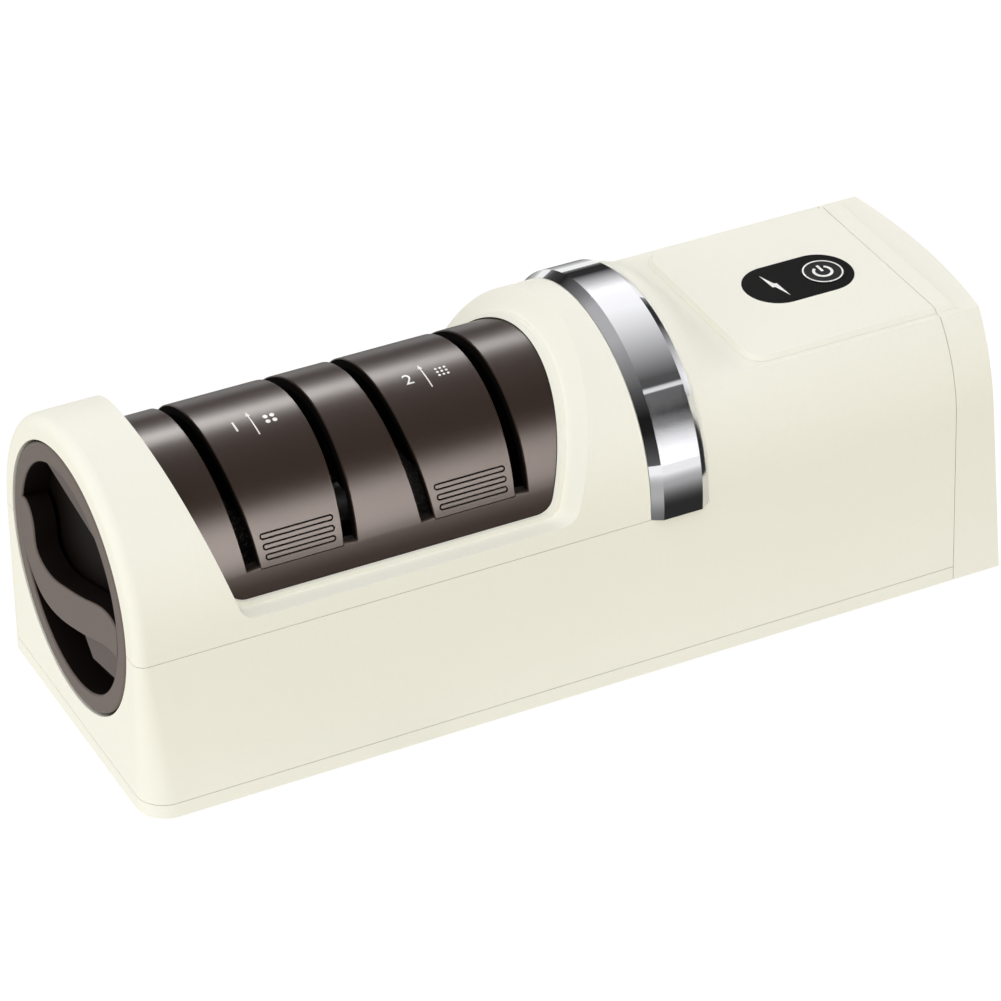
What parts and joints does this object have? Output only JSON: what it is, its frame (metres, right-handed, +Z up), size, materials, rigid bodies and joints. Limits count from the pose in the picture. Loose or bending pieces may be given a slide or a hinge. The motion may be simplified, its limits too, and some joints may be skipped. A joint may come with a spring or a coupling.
{
  "type": "electric knife sharpener",
  "caption": "Cordless electric knife sharpener: long arched body, removable grinding drum with coarse and fine knife slots, turning lock knob, metal band and a power button.",
  "frame": {"origin": "under the feet, midway along and across the body", "axes": "+X from the knob end to the rear cap, -Y to the side that faces the user, +Z up"},
  "size_m": [0.2456, 0.0886, 0.0883],
  "materials": {
    "cream": "satin pearl",
    "rubber": "matt",
    "steel": "plain",
    "chrome": "polished",
    "black_gloss": "glossy",
    "black_plastic": "matt",
    "clear": "frosted",
    "board": "solder mask",
    "cell_wrap": "shrink wrap",
    "brass": "plain",
    "magnet": "sintered",
    "iron": "laminated",
    "brown_metallic": "metallic",
    "brown_plastic": "satin",
    "coarse_grit": "coarse abrasive",
    "fine_grit": "fine abrasive"
  },
  "bodies": {
    "housing": {"base_plate": "cream", "rubber_feet": "rubber", "base_screws": "steel", "main_housing": "cream", "front_hood": "cream", "chrome_band": "chrome", "rear_cap": "cream", "control_deck": "cream", "control_lens": "black_gloss", "tact_switch": "black_plastic", "light_pipe": "clear", "circuit_board": "board", "board_components": "black_plastic", "board_screws": "steel", "battery_cells": "cell_wrap", "battery_contacts": "brass", "battery_holder": "black_plastic", "charge_board": "board", "charging_socket": "steel", "motor_bracket": "steel", "motor_can": "steel", "motor_end_bell": "black_plastic", "stator_magnets": "magnet", "motor_brushes": "magnet", "motor_screws": "steel", "chamber_liner": "black_plastic", "lock_ring": "steel"},
    "power_button": {"power_button": "black_gloss", "switch_plunger": "black_plastic"},
    "rotor": {"armature": "iron", "commutator": "brass", "motor_shaft": "steel", "drive_dog": "black_plastic"},
    "drum": {"drum_shell": "brown_metallic", "coarse_tile": "brown_metallic", "fine_tile": "brown_metallic", "drum_front_plate": "black_plastic", "drum_rear_plate": "black_plastic", "spindle_bearings": "steel", "blade_guides": "black_plastic", "tie_rods": "steel", "swarf_magnet": "magnet"},
    "knob": {"knob": "brown_plastic", "lock_cam": "steel", "knob_pivot": "steel"},
    "bolt_top": {"lock_bolt_top": "steel"},
    "bolt_bottom": {"lock_bolt_bottom": "steel"},
    "spindle": {"spindle_shaft": "steel", "wheel_hubs": "brass", "coarse_wheels": "coarse_grit", "fine_wheels": "fine_grit", "spindle_spacers": "steel", "spindle_dog": "steel"}
  },
  "joints": [
    {"name": "drum_pull", "type": "slide", "parent": "housing", "child": "drum", "axis": [-1, 0, 0], "range_m": [0, 0.14]},
    {"name": "knob_turn", "type": "hinge", "parent": "drum", "child": "knob", "pos_m": [-0.118, 0, 0.0458], "axis": [1, 0, 0], "range_deg": [0, 60]},
    {"name": "bolt_top_slide", "type": "slide", "parent": "drum", "child": "bolt_top", "axis": [0, 0, 1], "range_m": [0, 0.0024]},
    {"name": "bolt_bottom_slide", "type": "slide", "parent": "drum", "child": "bolt_bottom", "axis": [0, 0, -1], "range_m": [0, 0.0024]},
    {"name": "spindle_spin", "type": "hinge", "parent": "drum", "child": "spindle", "pos_m": [0, 0, 0.0458], "axis": [1, 0, 0], "continuous": true},
    {"name": "rotor_spin", "type": "hinge", "parent": "housing", "child": "rotor", "pos_m": [0.04, 0, 0.0458], "axis": [1, 0, 0], "continuous": true},
    {"name": "button_press", "type": "slide", "parent": "housing", "child": "power_button", "axis": [0, 0, -1], "range_m": [0, 0.0006], "stiffness_N_per_m": 800}
  ],
  "couplings": [
    {"joint": "bolt_top_slide", "follows": "knob_turn", "m_per_rad": 0.0022918},
    {"joint": "bolt_bottom_slide", "follows": "knob_turn", "m_per_rad": 0.0022918},
    {"joint": "rotor_spin", "follows": "spindle_spin", "ratio": 1}
  ]
}
